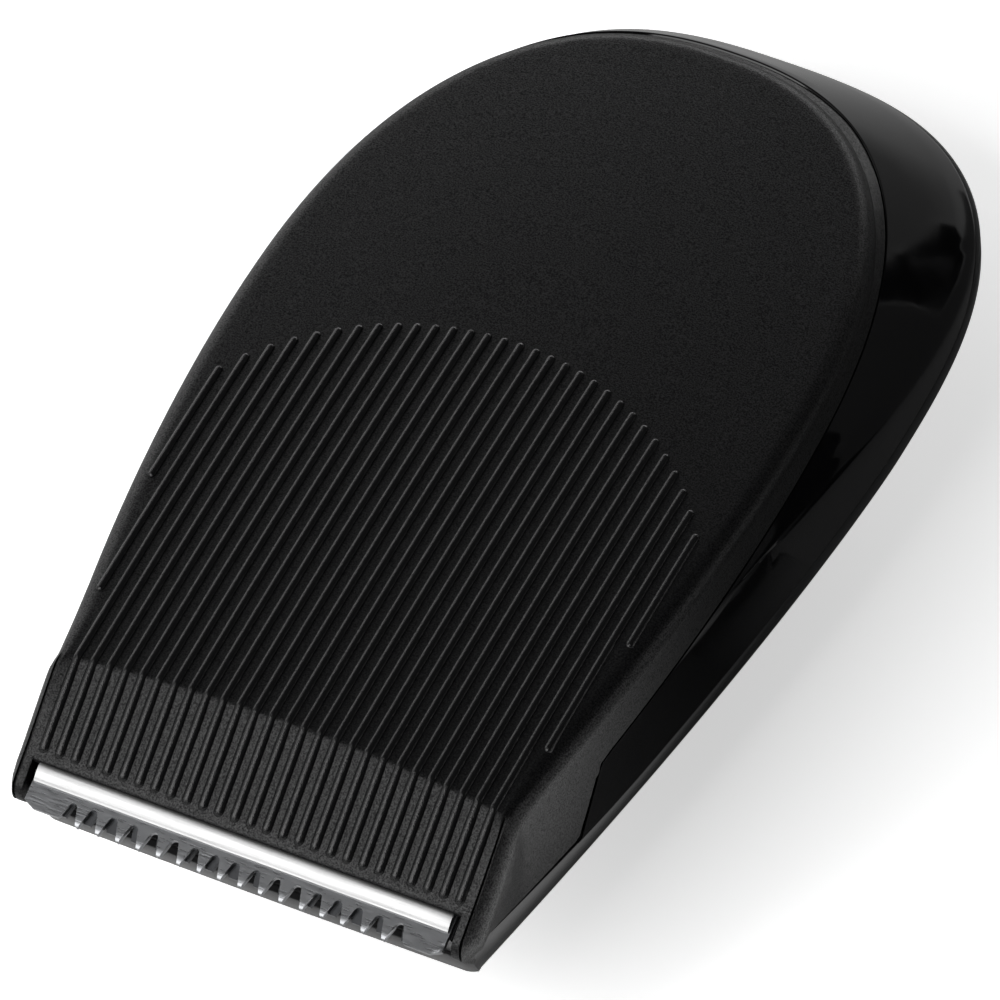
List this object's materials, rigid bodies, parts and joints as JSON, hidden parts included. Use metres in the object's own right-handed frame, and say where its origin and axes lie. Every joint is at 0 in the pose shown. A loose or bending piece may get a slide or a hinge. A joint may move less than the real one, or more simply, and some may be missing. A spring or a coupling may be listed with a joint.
{
  "type": "trimmer head",
  "caption": "Click-on hair trimmer head for a hand-held rotary shaver: ribbed matt cover, gloss side shell, toothed steel guard with moving cutter, round drive collar below.",
  "frame": {"origin": "on the drive axis, at the plane where the collar meets the underside of the base plate", "axes": "+Z along the drive axis, up through the ribbed cover; the cutting edge points to -Y; +X to the right"},
  "size_m": [0.0436, 0.0809, 0.0224],
  "materials": {
    "cover_plastic": "fine matt grain",
    "shell_plastic": "polished",
    "base_plastic": "satin",
    "white_plastic": "natural moulded",
    "seal_rubber": "matt",
    "bronze": "sintered",
    "plain_steel": "ground",
    "spring_steel": "drawn",
    "dark_steel": "blackened",
    "blade_steel": "fine ground",
    "bright_steel": "polished"
  },
  "bodies": {
    "head": {"top_cover": "cover_plastic", "side_shell": "shell_plastic", "base_plate": "base_plastic", "neck_collar": "base_plastic", "click_ring": "spring_steel", "spindle_housing": "white_plastic", "lower_bush": "bronze", "upper_bush": "bronze", "spindle_seal": "seal_rubber", "thrust_washer": "white_plastic", "pivot_pin": "plain_steel", "pivot_clip": "dark_steel", "blade_guard": "blade_steel", "blade_bar": "bright_steel", "blade_frame": "cover_plastic", "pressure_spring": "spring_steel", "hair_seal": "seal_rubber", "blade_screws": "plain_steel", "cover_screws": "dark_steel", "collar_screws": "dark_steel"},
    "spindle": {"drive_spindle": "plain_steel", "drive_pin": "plain_steel", "coupling_spring": "spring_steel", "eccentric": "plain_steel"},
    "coupling": {"drive_coupling": "white_plastic"},
    "lever": {"rocker_lever": "white_plastic", "lever_bush": "bronze"},
    "cutter": {"cutter_carrier": "base_plastic", "moving_cutter": "blade_steel"}
  },
  "joints": [
    {"name": "spindle_spin", "type": "hinge", "parent": "head", "child": "spindle", "pos_m": [0, 0, 0], "axis": [0, 0, 1], "continuous": true},
    {"name": "coupling_float", "type": "slide", "parent": "spindle", "child": "coupling", "axis": [0, 0, 1], "range_m": [0, 0.001], "stiffness_N_per_m": 400, "springref_m": -0.001, "deforming": ["coupling_spring"]},
    {"name": "lever_rock", "type": "hinge", "parent": "head", "child": "lever", "pos_m": [0, -0.016, 0], "axis": [0, 0, 1], "range_deg": [-1.8, 1.8]},
    {"name": "cutter_slide", "type": "slide", "parent": "head", "child": "cutter", "axis": [1, 0, 0], "range_m": [-0.001, 0.001]}
  ],
  "couplings": [
    {"joint": "cutter_slide", "follows": "lever_rock", "m_per_rad": 0.0318}
  ]
}
